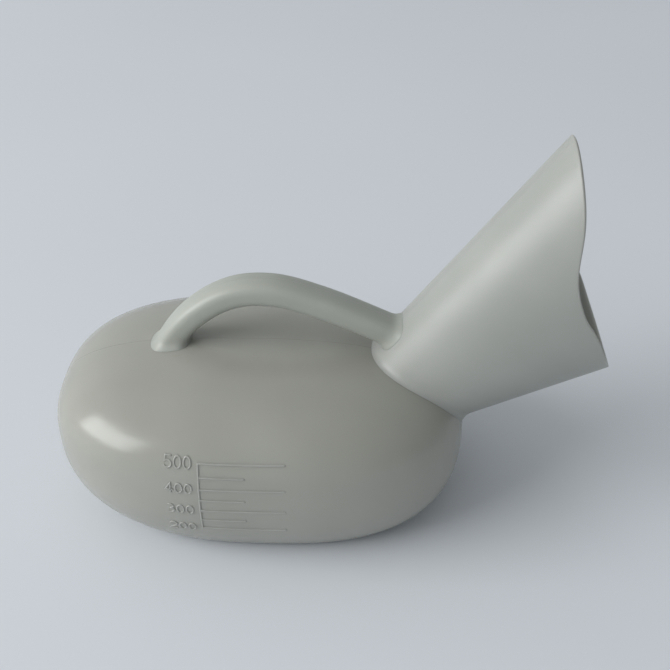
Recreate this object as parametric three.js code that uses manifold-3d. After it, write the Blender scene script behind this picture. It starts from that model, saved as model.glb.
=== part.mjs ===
// Urine bottle for use in bed: an oval moulded bottle with a flared spout cut off slantwise, a carrying handle
// from its roof to its spout, and a raised millilitre scale on one long side.
// Millimetres, +Z up. The origin is the middle of the flat base, +X runs towards the spout and the scale is
// on the -Y side.
import * as THREE from "three";
import { mergeVertices } from "three/addons/utils/BufferGeometryUtils.js";
import Module from "manifold-3d";

const wasm = await Module();
wasm.setup();

// ---------------------------------------------------------------- driving dimensions

const WALL = 1.8; // wall of the body and of the spout
const GAP = 0.3; // clearance where two pieces meet

// The body's plan is a superellipse. Its sides follow one superellipse below the widest level and another above.
// Its base is set a little towards the spout, and its roof a little away from it.
const BODY = {
  halfLength: 79,
  halfWidth: 57,
  planPower: 2.6,
  widestLevel: 36,
  lowerReach: 47, // reaches past the base plane, which cuts the lower curve off flat
  lowerPower: 2.4,
  upperReach: 30.5,
  upperPower: 2.6,
  baseLean: 4.2, // towards the spout, at the base
  roofLean: -5, // at the top of the roof
  leanPower: 1.5, // how the lean grows with the height from the widest level
  turns: 60,
  rings: 11, // above the widest level, and again below it
};

// The spout is a straight-sided funnel on a sloping axis, and its mouth is cut to a curve.
const SPOUT = {
  rootX: 51,
  rootZ: 43.6,
  slope: 38.8, // degrees above the horizontal
  halfHeight: 18.2, // at the root
  heightFlare: 0.246, // growth for each millimetre along the axis
  halfWidth: 18.6,
  widthFlare: 0.096,
  sectionPower: 2.2,
  buried: 28, // how far the uncut funnel starts behind the root, inside the body
  mouthReach: [75, 78.5, 82, 84, 90, 103, 113.5], // of the mouth's edge, at even levels from the lip to the top
  turns: 44,
  rings: 8,
};

// The handle's centre line in the XZ plane, from inside the roof to inside the spout.
const HANDLE = {
  line: [
    [-38, 56],
    [-34.5, 65.5],
    [-24.5, 78],
    [-10, 87],
    [5, 88.5],
    [23, 83.5],
    [56.5, 68.5],
  ],
  width: 13.5,
  thickness: 10,
  corner: 4,
  steps: 36,
  cornerSteps: 3,
};

// The scale: a spine with a line to its right at each step, and a number to its left at each hundred.
const SCALE = {
  spineX: -18,
  firstMl: 200,
  lastMl: 500,
  stepMl: 50,
  firstLevel: 19,
  linePitch: 5,
  longLine: 30,
  shortLine: 15.5,
  stroke: 0.8,
  proud: 0.7,
  longestPiece: 4, // of a bar that follows the body's curve
  digitHeight: 4,
  digitWidth: 2.5,
  digitPitch: 3.5,
  digitGap: 2.6, // from the spine to the last digit
  digitStroke: 0.7,
  digitArcStep: 36, // degrees
};

const PLASTIC = { color: 0xc9cec6, roughness: 0.35, metalness: 0 };

// ---------------------------------------------------------------- solids and meshes

function toSolid(geometry) {
  geometry.deleteAttribute("normal");
  geometry.deleteAttribute("uv");
  const merged = mergeVertices(geometry, 1e-3);
  const vertProperties = merged.attributes.position.array;
  const triVerts = new Uint32Array(merged.index.array);
  return new wasm.Manifold(new wasm.Mesh({ numProp: 3, vertProperties, triVerts }));
}

function toMesh(name, solid) {
  const { vertProperties, triVerts } = solid.getMesh();
  const geometry = new THREE.BufferGeometry();
  geometry.setAttribute("position", new THREE.BufferAttribute(vertProperties, 3));
  geometry.setIndex(new THREE.BufferAttribute(triVerts, 1));
  geometry.computeVertexNormals();
  const mesh = new THREE.Mesh(geometry, new THREE.MeshStandardMaterial(PLASTIC));
  mesh.name = name;
  return mesh;
}

// Moves every vertex of a geometry to where place(x, y, z) puts it.
function reshape(geometry, place) {
  const position = geometry.attributes.position;
  for (let i = 0; i < position.count; i += 1) {
    const moved = place(position.getX(i), position.getY(i), position.getZ(i));
    position.setXYZ(i, moved.x, moved.y, moved.z);
  }
  return geometry;
}

// A lathed solid with its axis turned from Y to Z.
function lathe(profile, turns) {
  return new THREE.LatheGeometry(profile, turns).rotateX(Math.PI / 2);
}

// ---------------------------------------------------------------- body

// How wide the body is at a level, as a share of its plan, when it is grown by an offset.
function levelShare(level, offset) {
  const below = level < BODY.widestLevel;
  const reach = (below ? BODY.lowerReach : BODY.upperReach) + offset;
  const power = below ? BODY.lowerPower : BODY.upperPower;
  return (1 - (Math.abs(level - BODY.widestLevel) / reach) ** power) ** (1 / power);
}

function planRadius(angle, offset) {
  const along = Math.abs(Math.cos(angle) / (BODY.halfLength + offset)) ** BODY.planPower;
  const across = Math.abs(Math.sin(angle) / (BODY.halfWidth + offset)) ** BODY.planPower;
  return (along + across) ** (-1 / BODY.planPower);
}

// How far the body's section at a level is set towards the spout.
function lean(level) {
  const below = level < BODY.widestLevel;
  const share = Math.abs(level - BODY.widestLevel) / (below ? BODY.widestLevel : BODY.upperReach);
  return (below ? BODY.baseLean : BODY.roofLean) * share ** BODY.leanPower;
}

// The body as one filled solid, grown outwards by an offset, or shrunk by a negative one.
function bodySolid(offset) {
  const floor = -offset;
  const profile = [new THREE.Vector2(0, floor), new THREE.Vector2(levelShare(floor, offset), floor)];
  for (let i = 1; i <= 2 * BODY.rings; i += 1) {
    const angle = (i / BODY.rings - 1) * (Math.PI / 2);
    const lower = i < BODY.rings;
    const power = 2 / (lower ? BODY.lowerPower : BODY.upperPower);
    const reach = (lower ? BODY.lowerReach : BODY.upperReach) + offset;
    const height = Math.sign(angle) * Math.abs(Math.sin(angle)) ** power * reach;
    const radius = i < 2 * BODY.rings ? Math.cos(angle) ** power : 0;
    const level = BODY.widestLevel + height;
    if (level > floor + WALL / 2) profile.push(new THREE.Vector2(radius, level));
  }
  return toSolid(
    reshape(lathe(profile, BODY.turns), (x, y, z) => {
      const angle = Math.atan2(y, x);
      const radius = Math.hypot(x, y) * planRadius(angle, offset);
      return new THREE.Vector3(Math.cos(angle) * radius + lean(z), Math.sin(angle) * radius, z);
    }),
  );
}

// What the spout and the handle are cut back to.
const bodyWithGap = bodySolid(GAP);

// ---------------------------------------------------------------- spout

const tilt = THREE.MathUtils.degToRad(SPOUT.slope);
const spoutAxis = new THREE.Vector3(Math.cos(tilt), 0, Math.sin(tilt));
const spoutUp = new THREE.Vector3(-Math.sin(tilt), 0, Math.cos(tilt));
const spoutRoot = new THREE.Vector3(SPOUT.rootX, 0, SPOUT.rootZ);
const mouthCurve = new THREE.SplineCurve(SPOUT.mouthReach.map((reach, i) => new THREE.Vector2(i, reach)));

// How far along the axis the mouth's edge lies at a level of the section, -1 at the lip and 1 at the top.
function mouthReach(level) {
  return mouthCurve.getPoint((level + 1) / 2).y;
}

function roundedPower(value, power) {
  return Math.sign(value) * Math.abs(value) ** power;
}

// A point of the funnel: the angle runs round the section from +Y, and the share runs from start to mouth.
function spoutPoint(angle, share, offset) {
  const side = roundedPower(Math.cos(angle), 2 / SPOUT.sectionPower);
  const level = roundedPower(Math.sin(angle), 2 / SPOUT.sectionPower);
  const along = share * (mouthReach(level) + SPOUT.buried) - SPOUT.buried;
  const halfHeight = SPOUT.halfHeight + SPOUT.heightFlare * along + offset;
  const halfWidth = SPOUT.halfWidth + SPOUT.widthFlare * along + offset;
  return spoutRoot
    .clone()
    .addScaledVector(spoutAxis, along)
    .addScaledVector(spoutUp, level * halfHeight)
    .add(new THREE.Vector3(0, side * halfWidth, 0));
}

// The funnel as one filled solid, to cut other pieces with.
function funnelSolid(offset) {
  const profile = [new THREE.Vector2(0, 0)];
  for (let i = 0; i <= SPOUT.rings; i += 1) profile.push(new THREE.Vector2(1, i / SPOUT.rings));
  profile.push(new THREE.Vector2(0, 1));
  return toSolid(
    reshape(lathe(profile, SPOUT.turns), (x, y, z) => {
      if (Math.hypot(x, y) > 0.5) return spoutPoint(Math.atan2(y, x), z, offset);
      return spoutRoot.clone().addScaledVector(spoutAxis, z > 0.5 ? mouthReach(0) : -SPOUT.buried);
    }),
  );
}

// The funnel's wall, open at both ends. Its lathe has the outside at radius 2 and the inside at radius 1.
function funnelShell() {
  const profile = [];
  for (let i = 0; i <= SPOUT.rings; i += 1) profile.push(new THREE.Vector2(2, i / SPOUT.rings));
  for (let i = SPOUT.rings; i >= 0; i -= 1) profile.push(new THREE.Vector2(1, i / SPOUT.rings));
  profile.push(profile[0].clone());
  return toSolid(
    reshape(lathe(profile, SPOUT.turns), (x, y, z) => {
      return spoutPoint(Math.atan2(y, x), z, Math.hypot(x, y) < 1.5 ? -WALL : 0);
    }),
  );
}

// ---------------------------------------------------------------- handle

function handleSolid() {
  const line = new THREE.CatmullRomCurve3(HANDLE.line.map(([x, z]) => new THREE.Vector3(x, 0, z)));
  const straightX = HANDLE.width / 2 - HANDLE.corner;
  const straightY = HANDLE.thickness / 2 - HANDLE.corner;
  const section = new THREE.Shape();
  section.absarc(straightX, straightY, HANDLE.corner, 0, Math.PI / 2);
  section.absarc(-straightX, straightY, HANDLE.corner, Math.PI / 2, Math.PI);
  section.absarc(-straightX, -straightY, HANDLE.corner, Math.PI, 1.5 * Math.PI);
  section.absarc(straightX, -straightY, HANDLE.corner, 1.5 * Math.PI, 2 * Math.PI);
  section.closePath();
  return toSolid(
    new THREE.ExtrudeGeometry(section, {
      steps: HANDLE.steps,
      curveSegments: HANDLE.cornerSteps,
      extrudePath: line,
    }),
  );
}

// ---------------------------------------------------------------- scale

// A point on the outside of the body's scale side.
function sidePoint(x, level) {
  const along = Math.abs((x - lean(level)) / BODY.halfLength) ** BODY.planPower;
  const across = levelShare(level, 0) ** BODY.planPower - along;
  return new THREE.Vector3(x, -BODY.halfWidth * across ** (1 / BODY.planPower), level);
}

// The outward direction there.
function sideNormal(x, level) {
  const step = 0.01;
  const along = sidePoint(x + step, level).sub(sidePoint(x - step, level));
  const up = sidePoint(x, level + step).sub(sidePoint(x, level - step));
  return along.cross(up).normalize();
}

// The outline of a pen stroke along a line of points. A line that ends where it starts, and runs
// anticlockwise, makes a ring.
function strokeShape(points, width) {
  const closed = points[0].distanceTo(points[points.length - 1]) < width / 100;
  const line = closed ? points.slice(0, -1) : points;
  const sides = [1, -1].map((side) =>
    line.map((point, i) => {
      const before = line[closed ? (i + line.length - 1) % line.length : Math.max(i - 1, 0)];
      const after = line[closed ? (i + 1) % line.length : Math.min(i + 1, line.length - 1)];
      const into = (before === point ? after.clone().sub(point) : point.clone().sub(before)).normalize();
      const out = (after === point ? into.clone() : after.clone().sub(point)).normalize();
      const spread = width / 2 / (1 + into.dot(out));
      const mitre = into.add(out).multiplyScalar(side * spread);
      return point.clone().add(new THREE.Vector2(-mitre.y, mitre.x));
    }),
  );
  if (!closed) return new THREE.Shape([...sides[0], ...sides[1].reverse()]);
  const ring = new THREE.Shape(sides[1]);
  ring.holes.push(new THREE.Path(sides[0]));
  return ring;
}

// Lays a flat plate, drawn on the upright plane, on the body's scale side as a raised mark.
function markSolid(plate) {
  return toSolid(
    reshape(plate, (x, level, depth) => {
      return sidePoint(x, level).addScaledVector(sideNormal(x, level), GAP + depth);
    }),
  );
}

// A raised bar, with enough pieces to follow the body's curve.
function barSolid(left, bottom, width, height) {
  const across = Math.ceil(width / SCALE.longestPiece);
  const up = Math.ceil(height / SCALE.longestPiece);
  const plate = new THREE.BoxGeometry(width, height, SCALE.proud, across, up, 1);
  return markSolid(plate.translate(left + width / 2, bottom + height / 2, SCALE.proud / 2));
}

function arc(centreX, centreY, radiusX, radiusY, startDegrees, endDegrees) {
  const start = THREE.MathUtils.degToRad(startDegrees);
  const end = THREE.MathUtils.degToRad(endDegrees);
  const curve = new THREE.EllipseCurve(centreX, centreY, radiusX, radiusY, start, end, end < start);
  return curve.getPoints(Math.ceil(Math.abs(endDegrees - startDegrees) / SCALE.digitArcStep));
}

function corners(...points) {
  return points.map(([x, y]) => new THREE.Vector2(x, y));
}

// Each digit's strokes, drawn in a box one wide and one high, from its lower left corner.
const DIGITS = {
  0: [arc(0.5, 0.5, 0.5, 0.5, 0, 360)],
  2: [[...arc(0.5, 0.7, 0.5, 0.3, 170, -35), ...corners([0, 0], [1, 0])]],
  3: [arc(0.45, 0.76, 0.45, 0.24, 160, -100), arc(0.48, 0.26, 0.52, 0.26, 100, -160)],
  4: [corners([0.72, 1], [0, 0.3], [1, 0.3]), corners([0.72, 1], [0.72, 0])],
  5: [[...corners([0.95, 1], [0.15, 1], [0.05, 0.52]), ...arc(0.45, 0.32, 0.55, 0.32, 120, -150)]],
};

function digitSolid(digit, left, bottom) {
  const strokes = DIGITS[digit].map((points) => {
    const placed = points.map(({ x, y }) => {
      return new THREE.Vector2(left + x * SCALE.digitWidth, bottom + y * SCALE.digitHeight);
    });
    const shape = strokeShape(placed, SCALE.digitStroke);
    return markSolid(new THREE.ExtrudeGeometry(shape, { depth: SCALE.proud, bevelEnabled: false }));
  });
  return strokes.reduce((joined, stroke) => joined.add(stroke));
}

// The spine, the lines and the digits, each a mesh of its own.
function scaleGroup() {
  const group = new THREE.Group();
  const lineCount = (SCALE.lastMl - SCALE.firstMl) / SCALE.stepMl;
  const spineFoot = SCALE.firstLevel - SCALE.stroke / 2;
  const spineHeight = lineCount * SCALE.linePitch + SCALE.stroke;
  const spine = barSolid(SCALE.spineX - SCALE.stroke / 2, spineFoot, SCALE.stroke, spineHeight);
  group.add(toMesh("scale_spine", spine));
  for (let i = 0; i <= lineCount; i += 1) {
    const ml = SCALE.firstMl + i * SCALE.stepMl;
    const level = SCALE.firstLevel + i * SCALE.linePitch;
    const isHundred = ml % 100 === 0;
    const start = SCALE.spineX + SCALE.stroke / 2 + GAP;
    const length = isHundred ? SCALE.longLine : SCALE.shortLine;
    const line = barSolid(start, level - SCALE.stroke / 2, length, SCALE.stroke);
    group.add(toMesh(`scale_line_${ml}`, line));
    if (isHundred) addNumber(group, ml, level);
  }
  return group;
}

// A number that ends beside the spine, its middle at the line's level.
function addNumber(group, ml, level) {
  const digits = [...String(ml)];
  digits.forEach((digit, i) => {
    const fromSpine = SCALE.digitGap + SCALE.digitWidth + (digits.length - 1 - i) * SCALE.digitPitch;
    const solid = digitSolid(digit, SCALE.spineX - fromSpine, level - SCALE.digitHeight / 2);
    group.add(toMesh(`scale_${ml}_digit_${i + 1}`, solid));
  });
}

// ---------------------------------------------------------------- assembly

const bottle = new THREE.Group();
const bodyShell = bodySolid(0).subtract(bodySolid(-WALL)).subtract(funnelSolid(-WALL));
const spoutShell = funnelShell().subtract(bodyWithGap);
const handle = handleSolid().subtract(bodyWithGap).subtract(funnelSolid(GAP));
bottle.add(toMesh("bottle_body", bodyShell));
bottle.add(toMesh("spout", spoutShell));
bottle.add(toMesh("carry_handle", handle));
bottle.add(scaleGroup());

export default bottle;
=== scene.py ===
"""A moulded plastic urine bottle: its looks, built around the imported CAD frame.

Shapes are worked out in millimetres in the frame's axes, +X towards the spout and +Z up, and are turned
into metres when a mesh is made.
"""

import math

import bmesh
import bpy
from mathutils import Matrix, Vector


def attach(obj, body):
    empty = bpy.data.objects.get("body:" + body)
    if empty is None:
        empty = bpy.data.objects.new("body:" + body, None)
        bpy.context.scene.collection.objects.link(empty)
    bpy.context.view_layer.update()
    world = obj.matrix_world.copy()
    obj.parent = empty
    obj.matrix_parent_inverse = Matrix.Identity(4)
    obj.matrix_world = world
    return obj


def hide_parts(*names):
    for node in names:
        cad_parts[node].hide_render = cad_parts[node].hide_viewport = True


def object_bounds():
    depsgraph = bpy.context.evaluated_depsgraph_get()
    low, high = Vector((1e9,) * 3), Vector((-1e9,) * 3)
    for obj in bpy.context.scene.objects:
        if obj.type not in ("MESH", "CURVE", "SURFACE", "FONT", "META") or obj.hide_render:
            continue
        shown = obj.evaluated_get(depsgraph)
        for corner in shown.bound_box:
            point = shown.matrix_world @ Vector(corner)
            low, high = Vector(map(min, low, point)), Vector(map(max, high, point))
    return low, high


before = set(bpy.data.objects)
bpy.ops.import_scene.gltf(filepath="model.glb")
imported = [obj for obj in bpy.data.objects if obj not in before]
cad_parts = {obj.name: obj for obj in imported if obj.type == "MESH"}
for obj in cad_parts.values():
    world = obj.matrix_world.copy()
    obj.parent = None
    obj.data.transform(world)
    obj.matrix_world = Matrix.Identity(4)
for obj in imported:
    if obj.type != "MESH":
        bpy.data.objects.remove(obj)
cad_low, cad_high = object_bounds()

MM = 0.001

# ---------------------------------------------------------------- sizes, in millimetres

WALL = 1.8
HALF_LENGTH = 78.9  # 0.1 under the CAD, whose coarser rings step over the crest of the leaning end
HALF_WIDTH = 57.0
PLAN_POWER = 2.6
WIDEST_LEVEL = 36.0
LOWER_REACH = 47.0
LOWER_POWER = 2.4
UPPER_REACH = 30.5
UPPER_POWER = 2.6
BASE_LEAN = 4.2  # how far the base is set towards the spout
ROOF_LEAN = -5.0
LEAN_POWER = 1.5
BASE_ROUNDING = 0.45  # softness of the corner between the side and the flat base
FAR_ABOVE = 30  # roundings over the base, where the rounding no longer shows
LOWEST_LATITUDE = -0.985  # the first ring, whose inside is closed by one flat face
HIGHEST_LATITUDE = 0.995  # and the last

SPOUT_ROOT = Vector((51, 0, 43.6))
SPOUT_SLOPE = math.radians(38.8)
SPOUT_HALF_HEIGHT = 18.2
SPOUT_HALF_WIDTH = 18.6
HEIGHT_FLARE = 0.246
WIDTH_FLARE = 0.096
SECTION_POWER = 2.2
MOUTH_REACH = (75, 78.5, 82, 84, 90, 103, 113.5)  # along the axis, at even levels from the lip to the top
RIM_ROUNDING = 0.7
RIM_POWER = 3.0  # of the superellipse that the rim's section follows
BORE_REACH = (-25, 0, 25)  # along the axis, through the body's wall
ROOT_SEARCH = (-20, 60)  # along the axis, from inside the body to outside it

HANDLE_LINE = ((-38, 56), (-34.5, 65.5), (-24.5, 78), (-10, 87), (5, 88.5), (23, 83.5), (56.5, 68.5))
HANDLE_WIDTH = 13.5
HANDLE_THICKNESS = 10.0
HANDLE_POWER = 3.1  # of the superellipse that the handle's section follows
HANDLE_MIDDLE = 0.5  # a share of the line that is clear of the body and of the spout

SPOUT_SUNK = 0.7  # how far the spout's foot reaches into the body's wall
HANDLE_SUNK = 1.4  # how far the handle's feet reach into the walls
SPOUT_FILLET = 1.6
UNDERSIDE_FILLET = 1.2  # how much larger the spout's fillet gets towards its underside
HANDLE_FILLET = 3.0
FOOT_SPREAD = 0.6  # how far a foot spreads, of its fillet
FOOT_HEIGHTS = (0, 0.07, 0.16, 0.28, 0.44, 0.65, 1)  # of the fillet
JOIN_SOFTNESS = 1.0  # how much the corner between body and spout is rounded where the handle meets it

SPINE_X = -18.0
FIRST_ML = 200
LAST_ML = 500
STEP_ML = 50
NUMBER_STEP_ML = 100
FIRST_LEVEL = 19.0
LINE_PITCH = 5.0
LONG_LINE = 30.0
SHORT_LINE = 15.5
STROKE = 0.8
LINE_GAP = 0.3
MARK_PROUD = 0.36
MARK_SUNK = 0.25
DIGIT_HEIGHT = 4.0
DIGIT_WIDTH = 2.5
DIGIT_PITCH = 3.5
DIGIT_GAP = 2.6
DIGIT_STROKE = 0.7
DIGIT_ARC_STEP = 18  # degrees
MARK_STEP = 0.6
MARK_PROFILE_STEPS = 6
MARK_SIDE_POWER = 2.6  # of the superellipse that a mark's section follows, sideways
MARK_TOP_POWER = 2.2  # and outwards
MARK_END_SHARES = (0.5, 0.85, 1)  # of half the stroke, where its round end has a section
MARK_END_LEAST = 0.02  # the square of the last section's size, as a share of the stroke's
MITRE_LEAST = 0.6  # keeps a sharp corner from growing long

# ---------------------------------------------------------------- steps and counts

TOUCH = 0.02  # millimetres, the step for measuring a slope
TANGENT_STEP = 0.002  # a share of the handle's line, for measuring its direction
BISECT_STEPS = 36
TINY = 1e-6  # keeps a division from failing
MERGE_DISTANCE = 1e-8  # metres
SHARP_DEGREES = 50

AROUND_BODY = 320
LATITUDES = 90
AROUND_SPOUT = 240
ALONG_SPOUT = 60
RIM_STEPS = 8
AROUND_HANDLE = 56
ALONG_HANDLE = 150

# ---------------------------------------------------------------- plastic, floor, light and camera

SCATTER_WEIGHT = 0.45
SCATTER_MM = 4.0
BODY_CLEAR = (0.345, 0.346, 0.308)
BODY_CLOUDY = (0.375, 0.375, 0.337)
# painted light: the spout is the body's plastic, with its colour made lighter for the light that falls on it
SPOUT_PAINTED_LIT_CLEAR = (0.35, 0.36, 0.335)
SPOUT_PAINTED_LIT_CLOUDY = (0.38, 0.39, 0.364)
# painted light: the handle is the body's plastic, with its colour made lighter for the light that falls on it
HANDLE_PAINTED_LIT_CLEAR = (0.375, 0.39, 0.35)
HANDLE_PAINTED_LIT_CLOUDY = (0.41, 0.425, 0.385)
# painted highlight: the raised marks are the body's plastic, with their colour made a touch lighter for the
# light that they catch
MARK_PAINTED_HIGHLIGHT_CLEAR = (0.36, 0.362, 0.324)
MARK_PAINTED_HIGHLIGHT_CLOUDY = (0.39, 0.391, 0.353)
GLOSSY = (0.20, 0.265)  # the least and the most roughness
SATIN = (0.37, 0.43)
SCATTER_RADIUS = (1.0, 0.95, 0.8)  # of SCATTER_MM, for red, green and blue
PLASTIC_IOR = 1.5
PLASTIC_SPECULAR = 0.5
CLOUD_MM = 38  # size of the cloudy patches
CLOUD_DETAIL = 1.5
CLOUD_RANGE = (0.35, 0.65)  # of the noise, from clear to cloudy
SATIN_MM = 14  # size of the patches with more or less gloss
SATIN_DETAIL = 4
SATIN_RANGE = (0.3, 0.7)
WAVES_MM = 30  # size of the slow waves that a blown wall has
WAVES_DEPTH = 0.12
GRAIN_MM = 0.7  # size of the mould's fine grain
GRAIN_DETAIL = 2
GRAIN_DEPTH = 0.004
SEAM_HALF_WIDTH = 0.35  # of the mould's parting line
SEAM_DEPTH = 0.10

FLOOR_SIZE = 30.0  # metres
FLOOR_COLOUR = (0.70, 0.73, 0.77)
FLOOR_PATCH_LIFT = 1.02  # of the floor's colour, in its lighter patches
FLOOR_PATCH_MM = 260
FLOOR_PATCH_RANGE = (0.3, 0.7)
FLOOR_ROUGHNESS = 0.9
FLOOR_SPECULAR = 0.1

MIDDLE = Vector((20, 0, 55)) * MM  # of the bottle, which the softbox is aimed at
KEY_AZIMUTH = -159  # degrees, as in soft_light
KEY_ELEVATION = 27
KEY_DISTANCE = 2.5  # metres
KEY_SIZE = (2.0, 1.25)  # metres
KEY_WATTS = 47
WORLD_COLOUR = (0.95, 0.98, 1.0)
WORLD_LEFT = 0.78  # strength of the studio's light from -X
WORLD_RIGHT = 0.22  # and from +X

CAMERA_AZIMUTH = math.radians(3.24)  # towards +X from straight in front of the scale
CAMERA_ELEVATION = math.radians(35.67)
CAMERA_DISTANCE = 0.451  # metres
CAMERA_TARGET = Vector((20.35, 0, 48)) * MM
PAN_RIGHT = math.radians(1.09)  # off the target, which sets the framing
TILT_UP = math.radians(2.17)
CAMERA_LENS = 61.8  # millimetres
SENSOR_WIDTH = 36  # millimetres
CLIP_START = 0.01  # metres

# ---------------------------------------------------------------- small helpers


def rounded(value, power):
    """A sine or cosine bent so that a circle becomes a superellipse."""
    return math.copysign(abs(value) ** (2 / power), value)


def mix(low, high, share):
    return low + (high - low) * share


def bisect(is_outside, inner, outer):
    """The number between two others at which a test turns from false to true."""
    for _ in range(BISECT_STEPS):
        middle = (inner + outer) / 2
        if is_outside(middle):
            outer = middle
        else:
            inner = middle
    return outer


def catmull_rom(before, start, end, after, share, knots):
    """A point of the Catmull-Rom curve from start to end, with a knot interval for each span."""
    into = (start - before) / knots[0] - (end - before) / (knots[0] + knots[1]) + (end - start) / knots[1]
    out = (end - start) / knots[1] - (after - start) / (knots[1] + knots[2]) + (after - end) / knots[2]
    into, out = into * knots[1], out * knots[1]
    square, cube = share**2, share**3
    return (
        start * (2 * cube - 3 * square + 1)
        + into * (cube - 2 * square + share)
        + end * (3 * square - 2 * cube)
        + out * (cube - square)
    )


def along_points(points, share, centripetal):
    """A smooth curve through some points or numbers, at a share of their count."""
    spans = len(points) - 1
    index = min(int(share * spans), spans - 1)
    ends = [2 * points[0] - points[1], *points, 2 * points[-1] - points[-2]]
    four = ends[index : index + 4]
    knots = [(four[i + 1] - four[i]).length ** 0.5 for i in range(3)] if centripetal else (1, 1, 1)
    return catmull_rom(*four, share * spans - index, knots)


def smooth(piece):
    """Shades a piece smoothly, apart from its sharp edges."""
    work = bmesh.new()
    work.from_mesh(piece.data)
    for face in work.faces:
        face.smooth = True
    for edge in work.edges:
        if len(edge.link_faces) == 2:
            edge.smooth = edge.calc_face_angle() < math.radians(SHARP_DEGREES)
    work.to_mesh(piece.data)
    work.free()


def ring_faces(rings, around, closed=False):
    """Quads between rings of vertices that are listed one after another."""
    faces = []
    for ring in range(rings if closed else rings - 1):
        low = ring * around
        high = (ring + 1) % rings * around
        for i in range(around):
            after = (i + 1) % around
            faces.append((low + i, low + after, high + after, high + i))
    return faces


# ---------------------------------------------------------------- the body's shape


def soft_floor(level, floor):
    """The level, kept above a floor with a softly rounded corner."""
    rise = (level - floor) / BASE_ROUNDING
    return level if rise > FAR_ABOVE else floor + BASE_ROUNDING * math.log1p(math.exp(rise))


def body_share(level):
    """How wide the body is at a level, as a share of its widest."""
    below = level < WIDEST_LEVEL
    reach, power = (LOWER_REACH, LOWER_POWER) if below else (UPPER_REACH, UPPER_POWER)
    return max(1 - (abs(level - WIDEST_LEVEL) / reach) ** power, 0) ** (1 / power)


def lean(level):
    """How far the body's section at a level is set towards the spout."""
    if level < WIDEST_LEVEL:
        return BASE_LEAN * ((WIDEST_LEVEL - level) / WIDEST_LEVEL) ** LEAN_POWER
    return ROOF_LEAN * ((level - WIDEST_LEVEL) / UPPER_REACH) ** LEAN_POWER


def body_point(turn, latitude, offset):
    """A point of the body's skin, moved out by an offset. The latitude runs from -1 at the base to 1."""
    angle = latitude * math.pi / 2
    power = LOWER_POWER if latitude < 0 else UPPER_POWER
    reach = (LOWER_REACH if latitude < 0 else UPPER_REACH) + offset
    share = rounded(math.cos(angle), power)
    level = WIDEST_LEVEL + reach * rounded(math.sin(angle), power)
    plan = (
        abs(math.cos(turn) / (HALF_LENGTH + offset)) ** PLAN_POWER
        + abs(math.sin(turn) / (HALF_WIDTH + offset)) ** PLAN_POWER
    ) ** (-1 / PLAN_POWER)
    level = soft_floor(level, -offset)
    return Vector((share * plan * math.cos(turn) + lean(level), share * plan * math.sin(turn), level))


def side_depth(x, level):
    """The body's Y on the side that carries the scale."""
    along = abs((x - lean(level)) / HALF_LENGTH) ** PLAN_POWER
    return -HALF_WIDTH * (body_share(level) ** PLAN_POWER - along) ** (1 / PLAN_POWER)


def side_point(x, level, out=0.0):
    """A point on the body's side that faces -Y, moved straight out of it."""
    return Vector((x, side_depth(x, level), level)) + side_normal(x, level) * out


def side_normal(x, level):
    slope_x = (side_depth(x + TOUCH, level) - side_depth(x - TOUCH, level)) / (2 * TOUCH)
    slope_z = (side_depth(x, level + TOUCH) - side_depth(x, level - TOUCH)) / (2 * TOUCH)
    return Vector((slope_x, -1, slope_z)).normalized()


# ---------------------------------------------------------------- the spout's shape

SPOUT_AXIS = Vector((math.cos(SPOUT_SLOPE), 0, math.sin(SPOUT_SLOPE)))
SPOUT_UP = Vector((-math.sin(SPOUT_SLOPE), 0, math.cos(SPOUT_SLOPE)))


def spout_point(turn, along, inset):
    """A point of the spout's skin, moved in by an inset."""
    side = rounded(math.cos(turn), SECTION_POWER) * (SPOUT_HALF_WIDTH + WIDTH_FLARE * along - inset)
    level = rounded(math.sin(turn), SECTION_POWER) * (SPOUT_HALF_HEIGHT + HEIGHT_FLARE * along - inset)
    return SPOUT_ROOT + SPOUT_AXIS * along + SPOUT_UP * level + Vector((0, side, 0))


def mouth_along(turn):
    """How far along the axis the slanted mouth cuts the spout."""
    height = rounded(math.sin(turn), SECTION_POWER)
    return along_points(MOUTH_REACH, (height + 1) / 2, centripetal=False)


# ---------------------------------------------------------------- the handle's shape

HANDLE_POINTS = [Vector((x, 0, z)) for x, z in HANDLE_LINE]


def handle_point(turn, share):
    centre = along_points(HANDLE_POINTS, share, centripetal=True)
    low, high = max(share - TANGENT_STEP, 0), min(share + TANGENT_STEP, 1)
    tangent = along_points(HANDLE_POINTS, high, True) - along_points(HANDLE_POINTS, low, True)
    up = Vector((-tangent.z, 0, tangent.x)).normalized()
    side = rounded(math.cos(turn), HANDLE_POWER) * HANDLE_WIDTH / 2
    return centre + Vector((0, side, 0)) + up * rounded(math.sin(turn), HANDLE_POWER) * HANDLE_THICKNESS / 2


def body_excess(point):
    """0 on the body's skin, less inside it and more outside."""
    x = point.x - lean(point.z)
    plan = abs(x / HALF_LENGTH) ** PLAN_POWER + abs(point.y / HALF_WIDTH) ** PLAN_POWER
    level = abs(point.z - WIDEST_LEVEL)
    if point.z < WIDEST_LEVEL:
        return plan ** (LOWER_POWER / PLAN_POWER) + (level / LOWER_REACH) ** LOWER_POWER - 1
    return plan ** (UPPER_POWER / PLAN_POWER) + (level / UPPER_REACH) ** UPPER_POWER - 1


def spout_excess(point):
    """0 on the spout's skin, less inside it and more outside."""
    place = point - SPOUT_ROOT
    along = place.dot(SPOUT_AXIS)
    across = abs(place.y / (SPOUT_HALF_WIDTH + WIDTH_FLARE * along)) ** SECTION_POWER
    return across + abs(place.dot(SPOUT_UP) / (SPOUT_HALF_HEIGHT + HEIGHT_FLARE * along)) ** SECTION_POWER - 1


def gradient(excess, point):
    steps = (Vector((TOUCH, 0, 0)), Vector((0, TOUCH, 0)), Vector((0, 0, TOUCH)))
    return Vector([(excess(point + step) - excess(point - step)) / (2 * TOUCH) for step in steps])


def height_over(excess, point):
    """Roughly how far a point is outside a surface."""
    return excess(point) / max(gradient(excess, point).length, TINY)


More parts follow.
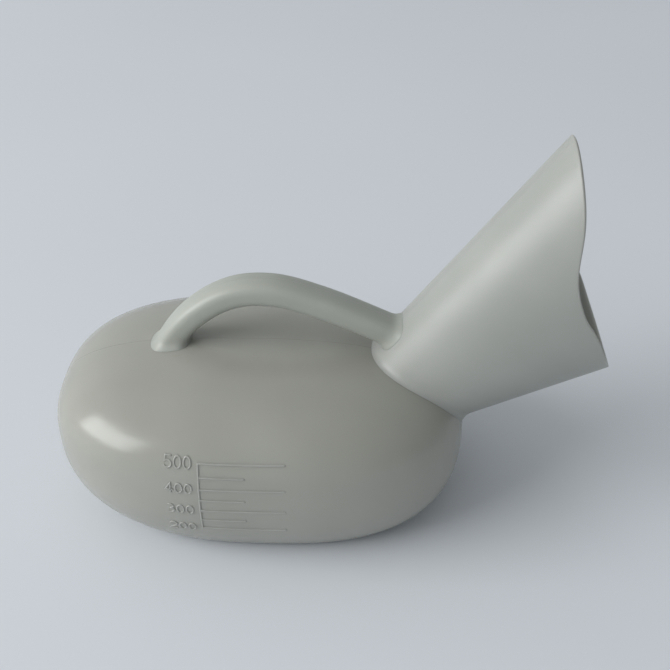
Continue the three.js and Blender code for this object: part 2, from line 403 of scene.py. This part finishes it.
def height_over_both(point):
    """The height over body and spout together, with the corner between them rounded."""
    heights = [height_over(excess, point) for excess in (body_excess, spout_excess)]
    lowest = min(heights)
    total = sum(math.exp((lowest - height) / JOIN_SOFTNESS) for height in heights)
    return lowest - JOIN_SOFTNESS * math.log(total)


def spread(height, fillet):
    """How far a foot spreads sideways, at a height over the surface that it grows from."""
    share = 1 - min(max(height, 0) / fillet, 1)
    return FOOT_SPREAD * fillet * share**2


def flat_along(direction, normal):
    """A direction turned to lie along a surface."""
    return (direction - normal * direction.dot(normal)).normalized()


# ---------------------------------------------------------------- the pieces' meshes


def solid_from(name, rings, around, closed=False):
    """A solid through rings of points, with flat ends unless it is closed from the last ring to the first."""
    vertices = [point for ring in rings for point in ring]
    faces = ring_faces(len(rings), around, closed)
    if not closed:
        faces.append(tuple(reversed(range(around))))
        faces.append(tuple(range(len(vertices) - around, len(vertices))))
    mesh = bpy.data.meshes.new(name)
    mesh.from_pydata([tuple(Vector(v) * MM) for v in vertices], [], faces)
    work = bmesh.new()
    work.from_mesh(mesh)
    bmesh.ops.remove_doubles(work, verts=work.verts, dist=MERGE_DISTANCE)
    bmesh.ops.recalc_face_normals(work, faces=work.faces)
    work.to_mesh(mesh)
    work.free()
    solid = bpy.data.objects.new(name, mesh)
    bpy.context.scene.collection.objects.link(solid)
    return solid


def turns(count):
    """Angles evenly spaced round a circle."""
    return [2 * math.pi * i / count for i in range(count)]


def body_skin(name, offset):
    """The closed outer or inner skin of the body."""
    rings = []
    for i in range(LATITUDES + 1):
        latitude = mix(LOWEST_LATITUDE, HIGHEST_LATITUDE, i / LATITUDES)
        rings.append([body_point(turn, latitude, offset) for turn in turns(AROUND_BODY)])
    return solid_from(name, rings, AROUND_BODY)


def split_to_triangles(solid):
    """Makes every face flat, which a clean cut needs."""
    work = bmesh.new()
    work.from_mesh(solid.data)
    bmesh.ops.triangulate(work, faces=work.faces)
    work.to_mesh(solid.data)
    work.free()


def cut(solid, tool):
    """Takes the tool, a closed mesh, out of a solid, and deletes the tool."""
    split_to_triangles(solid)
    split_to_triangles(tool)
    modifier = solid.modifiers.new("cut", "BOOLEAN")
    modifier.operation = "DIFFERENCE"
    modifier.solver = "EXACT"
    modifier.object = tool
    graph = bpy.context.evaluated_depsgraph_get()
    mesh = bpy.data.meshes.new_from_object(solid.evaluated_get(graph))
    solid.modifiers.clear()
    solid.data = mesh
    bpy.data.objects.remove(tool)


def make_body():
    """A hollow shell with a bore through its wall into the spout."""
    body = body_skin("bottle_body_shell", 0)
    cut(body, body_skin("inner_skin", -WALL))
    half_step = math.pi / AROUND_SPOUT  # the cut leaves no slivers with the bore turned by this
    bore_rings = []
    for along in BORE_REACH:
        bore_rings.append([spout_point(turn + half_step, along, WALL / 2) for turn in turns(AROUND_SPOUT)])
    cut(body, solid_from("bore", bore_rings, AROUND_SPOUT))
    return body


def spout_along(turn, height, inset=0.0):
    """How far along the axis the spout's skin, moved in by an inset, is at a height over the body."""

    def is_outside(along):
        return height_over(body_excess, spout_point(turn, along, inset)) > height

    return bisect(is_outside, *ROOT_SEARCH)


def spout_foot(turn, fillet):
    """From inside the body's wall, up the fillet, to the spout's skin."""
    outward = (spout_point(turn, 0, -1) - spout_point(turn, 0, 0)).normalized()
    foot = spout_point(turn, spout_along(turn, 0), 0)
    normal = gradient(body_excess, foot).normalized()
    sideways = flat_along(outward, normal)
    points = [foot + sideways * spread(0, fillet) - normal * SPOUT_SUNK]
    for share in FOOT_HEIGHTS:
        height = share * fillet
        points.append(spout_point(turn, spout_along(turn, height), 0) + sideways * spread(height, fillet))
    return points


def spout_rim(turn, last):
    """From the outer skin round the rim to the inner skin."""
    points = []
    for i in range(1, RIM_STEPS):
        angle = math.pi * i / RIM_STEPS
        inset = WALL / 2 * (1 - rounded(math.cos(angle), RIM_POWER))
        points.append(spout_point(turn, last + RIM_ROUNDING * rounded(math.sin(angle), RIM_POWER), inset))
    return points


def spout_column(turn):
    """Up the outer skin to the mouth, round the rim, and down the inner skin into the bore."""
    underside = (1 - math.sin(turn)) / 2
    fillet = SPOUT_FILLET * (1 + UNDERSIDE_FILLET * underside**2)
    first = spout_along(turn, fillet)
    last = mouth_along(turn) - RIM_ROUNDING
    bottom = spout_along(turn, -WALL, WALL)
    column = spout_foot(turn, fillet)
    for i in range(1, ALONG_SPOUT + 1):
        column.append(spout_point(turn, mix(first, last, i / ALONG_SPOUT), 0))
    column += spout_rim(turn, last)
    for i in range(ALONG_SPOUT + 1):
        column.append(spout_point(turn, mix(last, bottom, i / ALONG_SPOUT), WALL))
    return column


def make_spout():
    """A funnel whose outer and inner skins are one closed surface."""
    columns = [spout_column(turn) for turn in turns(AROUND_SPOUT)]
    return solid_from("spout_shell", list(zip(*columns)), AROUND_SPOUT, closed=True)


def handle_share(turn, height, end):
    """The share of the handle's line, from an end, at which its skin is at a height over the rest."""

    def is_outside(share):
        return height_over_both(handle_point(turn, share)) > height

    return bisect(is_outside, end, HANDLE_MIDDLE)


def handle_foot(turn, end):
    """From inside the wall at an end of the handle's line, up the fillet, to the handle's skin."""
    rest = handle_share(turn, 0, end)
    foot = handle_point(turn, rest)
    centre = along_points(HANDLE_POINTS, rest, centripetal=True)
    outward = (foot - centre).normalized()
    normal = gradient(height_over_both, foot).normalized()
    sideways = flat_along(outward, normal)
    points = [foot + sideways * spread(0, HANDLE_FILLET) - normal * HANDLE_SUNK]
    for share in FOOT_HEIGHTS:
        height = share * HANDLE_FILLET
        side = sideways * spread(height, HANDLE_FILLET)
        points.append(handle_point(turn, handle_share(turn, height, end)) + side)
    return points


def handle_column(turn):
    """From one foot along the handle's skin to the other foot."""
    first = handle_share(turn, HANDLE_FILLET, 0)
    last = handle_share(turn, HANDLE_FILLET, 1)
    column = handle_foot(turn, 0)
    for i in range(1, ALONG_HANDLE):
        column.append(handle_point(turn, mix(first, last, i / ALONG_HANDLE)))
    column += reversed(handle_foot(turn, 1))
    return column


def make_handle():
    """A swept strap with a spread foot at each end."""
    columns = [handle_column(turn) for turn in turns(AROUND_HANDLE)]
    return solid_from("handle_strap", list(zip(*columns)), AROUND_HANDLE)


# ---------------------------------------------------------------- the raised scale


def arc(centre_x, centre_y, radius_x, radius_y, start, end):
    count = max(2, round(abs(end - start) / DIGIT_ARC_STEP))
    points = []
    for i in range(count + 1):
        angle = math.radians(mix(start, end, i / count))
        points.append((centre_x + radius_x * math.cos(angle), centre_y + radius_y * math.sin(angle)))
    return points


# Each digit is one pen stroke in a box one unit wide and one unit high.
DIGIT_STROKES = {
    "0": arc(0.5, 0.5, 0.5, 0.5, 90, 450),
    "2": arc(0.5, 0.7, 0.5, 0.3, 170, -35) + [(0, 0), (1, 0)],
    "3": arc(0.42, 0.77, 0.45, 0.23, 125, -75) + arc(0.45, 0.27, 0.52, 0.27, 75, -130),
    "4": [(0.72, 0), (0.72, 1), (0, 0.3), (1, 0.3)],
    "5": [(0.95, 1), (0.15, 1), (0.05, 0.52)] + arc(0.45, 0.32, 0.55, 0.32, 120, -150),
}


def in_small_steps(path, closed):
    """The same path with a point at least every MARK_STEP."""
    points = []
    spans = len(path) if closed else len(path) - 1
    for i in range(spans):
        start, end = Vector(path[i]), Vector(path[(i + 1) % len(path)])
        count = max(1, math.ceil((end - start).length / MARK_STEP))
        points += [start.lerp(end, k / count) for k in range(count)]
    if not closed:
        points.append(Vector(path[-1]))
    return points


def with_round_ends(points, width):
    """An open path that goes on into two round ends, and the size of the bead at each of its points."""
    first = (points[0] - points[1]).normalized()
    last = (points[-1] - points[-2]).normalized()
    before = [points[0] + first * width / 2 * share for share in reversed(MARK_END_SHARES)]
    after = [points[-1] + last * width / 2 * share for share in MARK_END_SHARES]
    sizes = [math.sqrt(max(1 - share**2, MARK_END_LEAST)) for share in MARK_END_SHARES]
    return before + points + after, sizes[::-1] + [1] * len(points) + sizes


def bead_section(point, across, proud):
    """A ring across a bead: its rounded top, and two corners sunk into the wall."""
    ring = []
    for k in range(MARK_PROFILE_STEPS + 1):
        angle = math.pi * k / MARK_PROFILE_STEPS
        place = point + across * rounded(math.cos(angle), MARK_SIDE_POWER)
        ring.append(side_point(place.x, place.y, proud * rounded(math.sin(angle), MARK_TOP_POWER)))
    for side in (-1, 1):
        place = point + across * side
        ring.append(side_point(place.x, place.y, -MARK_SUNK))
    return ring


def raised_stroke(name, path, width, closed=False):
    """A rounded bead along a path of (x, level) on the side that faces -Y."""
    points = in_small_steps(path, closed)
    sizes = [1] * len(points)
    if not closed:
        points, sizes = with_round_ends(points, width)
    rings = []
    for i, (point, size) in enumerate(zip(points, sizes)):
        before = points[i - 1] if closed or i > 0 else point
        after = points[(i + 1) % len(points)] if closed or i + 1 < len(points) else point
        into, out = point - before, after - point
        direction = (into.normalized() + out.normalized()).normalized()
        onward = (out if out.length > 0 else into).normalized()
        stretch = 1 / max(abs(direction.dot(onward)), MITRE_LEAST)
        across = Vector((-direction.y, direction.x)) * (width / 2 * size * stretch)
        rings.append(bead_section(point, across, MARK_PROUD * size))
    return solid_from(name, rings, len(rings[0]), closed)


def level_of(millilitres):
    return FIRST_LEVEL + LINE_PITCH * (millilitres - FIRST_ML) / STEP_ML


def make_scale():
    """The spine, the lines and the digits, each as its CAD node's name and its mesh object."""
    marks = []
    spine = [(SPINE_X, level_of(FIRST_ML)), (SPINE_X, level_of(LAST_ML))]
    marks.append(("scale_spine", raised_stroke("scale_spine_bead", spine, STROKE)))
    for millilitres in range(FIRST_ML, LAST_ML + 1, STEP_ML):
        length = LONG_LINE if millilitres % NUMBER_STEP_ML == 0 else SHORT_LINE
        start = SPINE_X + STROKE / 2
        line = [(start, level_of(millilitres)), (start + LINE_GAP + length, level_of(millilitres))]
        node = f"scale_line_{millilitres}"
        marks.append((node, raised_stroke(f"{node}_bead", line, STROKE)))
    for millilitres in range(FIRST_ML, LAST_ML + 1, NUMBER_STEP_ML):
        digits = str(millilitres)
        for i, digit in enumerate(digits):
            left = SPINE_X - DIGIT_GAP - DIGIT_WIDTH - (len(digits) - 1 - i) * DIGIT_PITCH
            bottom = level_of(millilitres) - DIGIT_HEIGHT / 2
            path = [(left + x * DIGIT_WIDTH, bottom + y * DIGIT_HEIGHT) for x, y in DIGIT_STROKES[digit]]
            ring = digit == "0"
            node = f"scale_{millilitres}_digit_{i + 1}"
            bead = raised_stroke(f"{node}_bead", path[:-1] if ring else path, DIGIT_STROKE, ring)
            marks.append((node, bead))
    return marks


# ---------------------------------------------------------------- materials


class Nodes:
    """A material's node tree with the few calls that the materials below need."""

    def __init__(self, name):
        self.material = bpy.data.materials.new(name)
        self.material.use_nodes = True
        self.tree = self.material.node_tree
        self.shader = self.tree.nodes["Principled BSDF"]
        self.place = self.tree.nodes.new("ShaderNodeTexCoord").outputs["Object"]

    def noise(self, size_mm, detail):
        """Soft blotches of about a size, from 0 to 1."""
        node = self.tree.nodes.new("ShaderNodeTexNoise")
        node.inputs["Scale"].default_value = 1 / (size_mm * MM)
        node.inputs["Detail"].default_value = detail
        self.tree.links.new(self.place, node.inputs["Vector"])
        return node.outputs["Fac"]

    def seam(self, half_width_mm):
        """1 along the mould's parting line, in the plane through the spout and the handle, and 0 off it."""
        parts = self.tree.nodes.new("ShaderNodeSeparateXYZ")
        self.tree.links.new(self.place, parts.inputs["Vector"])
        size = self.tree.nodes.new("ShaderNodeMath")
        size.operation = "ABSOLUTE"
        self.tree.links.new(parts.outputs["Y"], size.inputs[0])
        return self.spread(size.outputs["Value"], 0, half_width_mm * MM, 1, 0)

    def spread(self, value, low, high, to_low, to_high):
        """Maps another node's output from one range onto another."""
        node = self.tree.nodes.new("ShaderNodeMapRange")
        numbers = {"From Min": low, "From Max": high, "To Min": to_low, "To Max": to_high}
        for name, number in numbers.items():
            node.inputs[name].default_value = number
        self.tree.links.new(value, node.inputs["Value"])
        return node.outputs["Result"]

    def blend(self, share, first, second):
        """Mixes two colours by another node's output."""
        node = self.tree.nodes.new("ShaderNodeMix")
        node.data_type = "RGBA"
        colours = [socket for socket in node.inputs if socket.type == "RGBA"]
        for socket, colour in zip(colours, (first, second)):
            socket.default_value = (*colour, 1)
        self.tree.links.new(share, node.inputs["Factor"])
        return next(socket for socket in node.outputs if socket.type == "RGBA")

    def bump(self, layers):
        """Bumps laid over each other, each a height output with its depth in millimetres."""
        normal = None
        for height, depth_mm in layers:
            node = self.tree.nodes.new("ShaderNodeBump")
            node.inputs["Strength"].default_value = 1.0
            node.inputs["Distance"].default_value = depth_mm * MM
            self.tree.links.new(height, node.inputs["Height"])
            if normal is not None:
                self.tree.links.new(normal, node.inputs["Normal"])
            normal = node.outputs["Normal"]
        self.tree.links.new(normal, self.shader.inputs["Normal"])

    def link(self, value, socket):
        self.tree.links.new(value, self.shader.inputs[socket])


def milky_plastic(name, clear, cloudy, roughness):
    """Blow-moulded polyethylene: milky, faintly uneven in thickness, with the satin of its mould. The colours
    that the spout, the handle and the marks are given are lighter copies of the body's plastic, which is
    painted light.
    """
    nodes = Nodes(name)
    cloud = nodes.spread(nodes.noise(CLOUD_MM, CLOUD_DETAIL), *CLOUD_RANGE, 0, 1)
    nodes.link(nodes.blend(cloud, clear, cloudy), "Base Color")
    satin = nodes.noise(SATIN_MM, SATIN_DETAIL)
    nodes.link(nodes.spread(satin, *SATIN_RANGE, *roughness), "Roughness")
    waves = (nodes.noise(WAVES_MM, 0), WAVES_DEPTH)
    grain = (nodes.noise(GRAIN_MM, GRAIN_DETAIL), GRAIN_DEPTH)
    seam = (nodes.seam(SEAM_HALF_WIDTH), SEAM_DEPTH)
    nodes.bump((waves, grain, seam))
    shader = nodes.shader
    shader.inputs["Subsurface Weight"].default_value = SCATTER_WEIGHT
    shader.inputs["Subsurface Radius"].default_value = SCATTER_RADIUS
    shader.inputs["Subsurface Scale"].default_value = SCATTER_MM * MM
    shader.inputs["IOR"].default_value = PLASTIC_IOR
    shader.inputs["Specular IOR Level"].default_value = PLASTIC_SPECULAR
    return nodes.material


# ---------------------------------------------------------------- the object

body_plastic = milky_plastic("milky_body_plastic", BODY_CLEAR, BODY_CLOUDY, GLOSSY)
# painted light: the spout's plastic is the body's plastic made lighter for the light that it catches
spout_plastic_painted_lit = milky_plastic("milky_spout_plastic_painted_lit", SPOUT_PAINTED_LIT_CLEAR, SPOUT_PAINTED_LIT_CLOUDY, SATIN)
# painted light: the handle's plastic is the body's plastic made lighter for the light that it catches
handle_plastic_painted_lit = milky_plastic("milky_handle_plastic_painted_lit", HANDLE_PAINTED_LIT_CLEAR, HANDLE_PAINTED_LIT_CLOUDY, SATIN)
# painted highlight: the marks' plastic is the body's plastic made a touch lighter
mark_plastic_painted_highlight = milky_plastic("raised_mark_plastic_painted_highlight", MARK_PAINTED_HIGHLIGHT_CLEAR, MARK_PAINTED_HIGHLIGHT_CLOUDY, GLOSSY)


def finish_piece(piece, node, material):
    smooth(piece)
    piece.data.materials.clear()
    piece.data.materials.append(material)
    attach(piece, "root")
    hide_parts(node)


finish_piece(make_body(), "bottle_body", body_plastic)
finish_piece(make_spout(), "spout", spout_plastic_painted_lit)
finish_piece(make_handle(), "carry_handle", handle_plastic_painted_lit)
for node, bead in make_scale():
    finish_piece(bead, node, mark_plastic_painted_highlight)

# ---------------------------------------------------------------- floor, light and camera


def make_floor():
    half = FLOOR_SIZE / 2
    mesh = bpy.data.meshes.new("floor")
    corners = [(-half, -half, 0), (half, -half, 0), (half, half, 0), (-half, half, 0)]
    mesh.from_pydata(corners, [], [(0, 1, 2, 3)])
    floor = bpy.data.objects.new("floor", mesh)
    bpy.context.scene.collection.objects.link(floor)
    floor.location.z = cad_low.z
    nodes = Nodes("pale_floor")
    patches = nodes.spread(nodes.noise(FLOOR_PATCH_MM, 1), *FLOOR_PATCH_RANGE, 0, 1)
    lighter = tuple(channel * FLOOR_PATCH_LIFT for channel in FLOOR_COLOUR)
    nodes.link(nodes.blend(patches, FLOOR_COLOUR, lighter), "Base Color")
    nodes.shader.inputs["Roughness"].default_value = FLOOR_ROUGHNESS
    nodes.shader.inputs["Specular IOR Level"].default_value = FLOOR_SPECULAR
    mesh.materials.append(nodes.material)


def soft_light(name, azimuth, elevation, distance, size, watts):
    """A rectangular softbox aimed at the middle of the bottle. Azimuth 0 is +X and 90 is +Y."""
    turn, rise = math.radians(azimuth), math.radians(elevation)
    away = Vector((math.cos(turn) * math.cos(rise), math.sin(turn) * math.cos(rise), math.sin(rise)))
    light = bpy.data.lights.new(name, "AREA")
    light.shape = "RECTANGLE"
    light.size, light.size_y = size
    light.energy = watts
    lamp = bpy.data.objects.new(name, light)
    bpy.context.scene.collection.objects.link(lamp)
    lamp.location = MIDDLE + away * distance
    lamp.rotation_euler = (-away).to_track_quat("-Z", "Y").to_euler()


def make_world():
    """A plain studio whose light fades from the bottle's left end to its spout."""
    world = bpy.data.worlds.new("studio")
    world.use_nodes = True
    tree = world.node_tree
    background = tree.nodes["Background"]
    background.inputs["Color"].default_value = (*WORLD_COLOUR, 1)
    parts = tree.nodes.new("ShaderNodeSeparateXYZ")
    fade = tree.nodes.new("ShaderNodeMapRange")
    direction = tree.nodes.new("ShaderNodeTexCoord").outputs["Generated"]
    tree.links.new(direction, parts.inputs["Vector"])
    tree.links.new(parts.outputs["X"], fade.inputs["Value"])
    numbers = {"From Min": -1, "From Max": 1, "To Min": WORLD_LEFT, "To Max": WORLD_RIGHT}
    for name, number in numbers.items():
        fade.inputs[name].default_value = number
    tree.links.new(fade.outputs["Result"], background.inputs["Strength"])
    bpy.context.scene.world = world


def make_camera():
    level = Vector((math.sin(CAMERA_AZIMUTH), -math.cos(CAMERA_AZIMUTH), 0))
    away = level * math.cos(CAMERA_ELEVATION) + Vector((0, 0, math.sin(CAMERA_ELEVATION)))
    camera_data = bpy.data.cameras.new("camera")
    camera_data.lens = CAMERA_LENS
    camera_data.sensor_width = SENSOR_WIDTH
    camera_data.clip_start = CLIP_START
    camera = bpy.data.objects.new("camera", camera_data)
    bpy.context.scene.collection.objects.link(camera)
    camera.location = CAMERA_TARGET + away * CAMERA_DISTANCE
    right = level.cross(Vector((0, 0, -1))).normalized()
    up = away.cross(right).normalized()
    aim = -away + right * math.tan(PAN_RIGHT) + up * math.tan(TILT_UP)
    camera.rotation_euler = aim.to_track_quat("-Z", "Y").to_euler()
    bpy.context.scene.camera = camera


make_floor()
soft_light("key_softbox", KEY_AZIMUTH, KEY_ELEVATION, KEY_DISTANCE, KEY_SIZE, KEY_WATTS)
make_world()
make_camera()
bpy.context.scene.view_settings.view_transform = "Standard"
